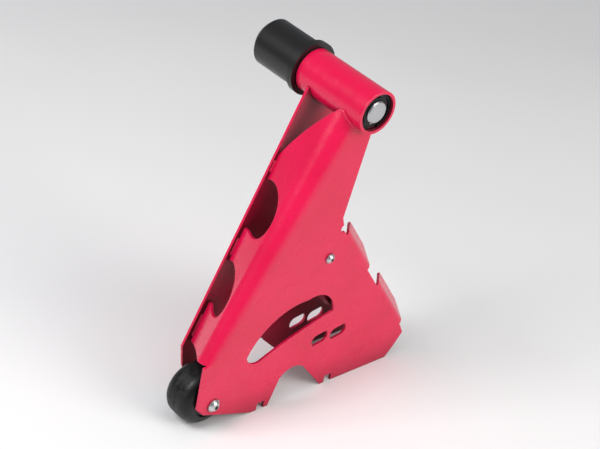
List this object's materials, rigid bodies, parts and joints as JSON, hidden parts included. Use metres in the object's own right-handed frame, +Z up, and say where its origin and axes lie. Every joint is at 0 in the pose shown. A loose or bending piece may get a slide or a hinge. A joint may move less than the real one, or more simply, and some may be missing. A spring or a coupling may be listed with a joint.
{
  "type": "single-sided paddock stand",
  "caption": "Fabricated steel stand that holds a motorcycle's rear wheel hub from one side on a rotating pin, with a lever socket and a transport roller.",
  "frame": {"origin": "on the spigot's axis, at the adapter shoulder that the wheel hub seats on", "axes": "+X towards the stand's rear, where the lever goes in; +Y along the hub pin, into the hub; +Z up"},
  "size_m": [0.313, 0.167, 0.386],
  "materials": {
    "red_powder_coat": "gloss powder coat",
    "zinc_steel": "bright zinc plated",
    "ground_steel": "ground and lightly oiled",
    "bearing_steel": "polished",
    "spring_steel": "phosphated black",
    "black_acetal": "turned satin",
    "black_polyamide": "moulded satin",
    "nitrile_seal": "matt",
    "sintered_bronze": "oil filled"
  },
  "bodies": {
    "frame": {"outer_side_plate": "red_powder_coat", "inner_side_plate": "red_powder_coat", "axle_tube": "red_powder_coat", "lever_socket_tube": "red_powder_coat", "socket_collar_plate": "red_powder_coat", "socket_stop_plate": "red_powder_coat", "stay_sleeve": "zinc_steel", "tube_circlips": "spring_steel", "roller_sleeve": "zinc_steel", "roller_thrust_ring": "black_polyamide", "roller_axle_bolt": "zinc_steel", "roller_axle_washers": "zinc_steel", "roller_axle_nut": "zinc_steel", "stay_bolt": "zinc_steel", "stay_washers": "zinc_steel", "stay_nut": "zinc_steel", "near_bearing_outer_ring": "bearing_steel", "near_bearing_seals": "nitrile_seal", "far_bearing_outer_ring": "bearing_steel", "far_bearing_seals": "nitrile_seal"},
    "spigot": {"spigot_shaft": "ground_steel", "hub_adapter": "black_acetal", "adapter_bolt": "zinc_steel", "adapter_washer": "zinc_steel", "shaft_circlip": "spring_steel", "bearing_spacer": "ground_steel", "near_bearing_inner_ring": "bearing_steel", "far_bearing_inner_ring": "bearing_steel", "near_bearing_balls": "bearing_steel", "far_bearing_balls": "bearing_steel"},
    "roller": {"roller": "black_polyamide", "roller_bush": "sintered_bronze"}
  },
  "joints": [
    {"name": "spigot_spin", "type": "hinge", "parent": "frame", "child": "spigot", "pos_m": [0, 0, 0], "axis": [0, 1, 0], "continuous": true},
    {"name": "roller_spin", "type": "hinge", "parent": "frame", "child": "roller", "pos_m": [-0.144, 0, -0.323], "axis": [0, 1, 0], "continuous": true}
  ]
}
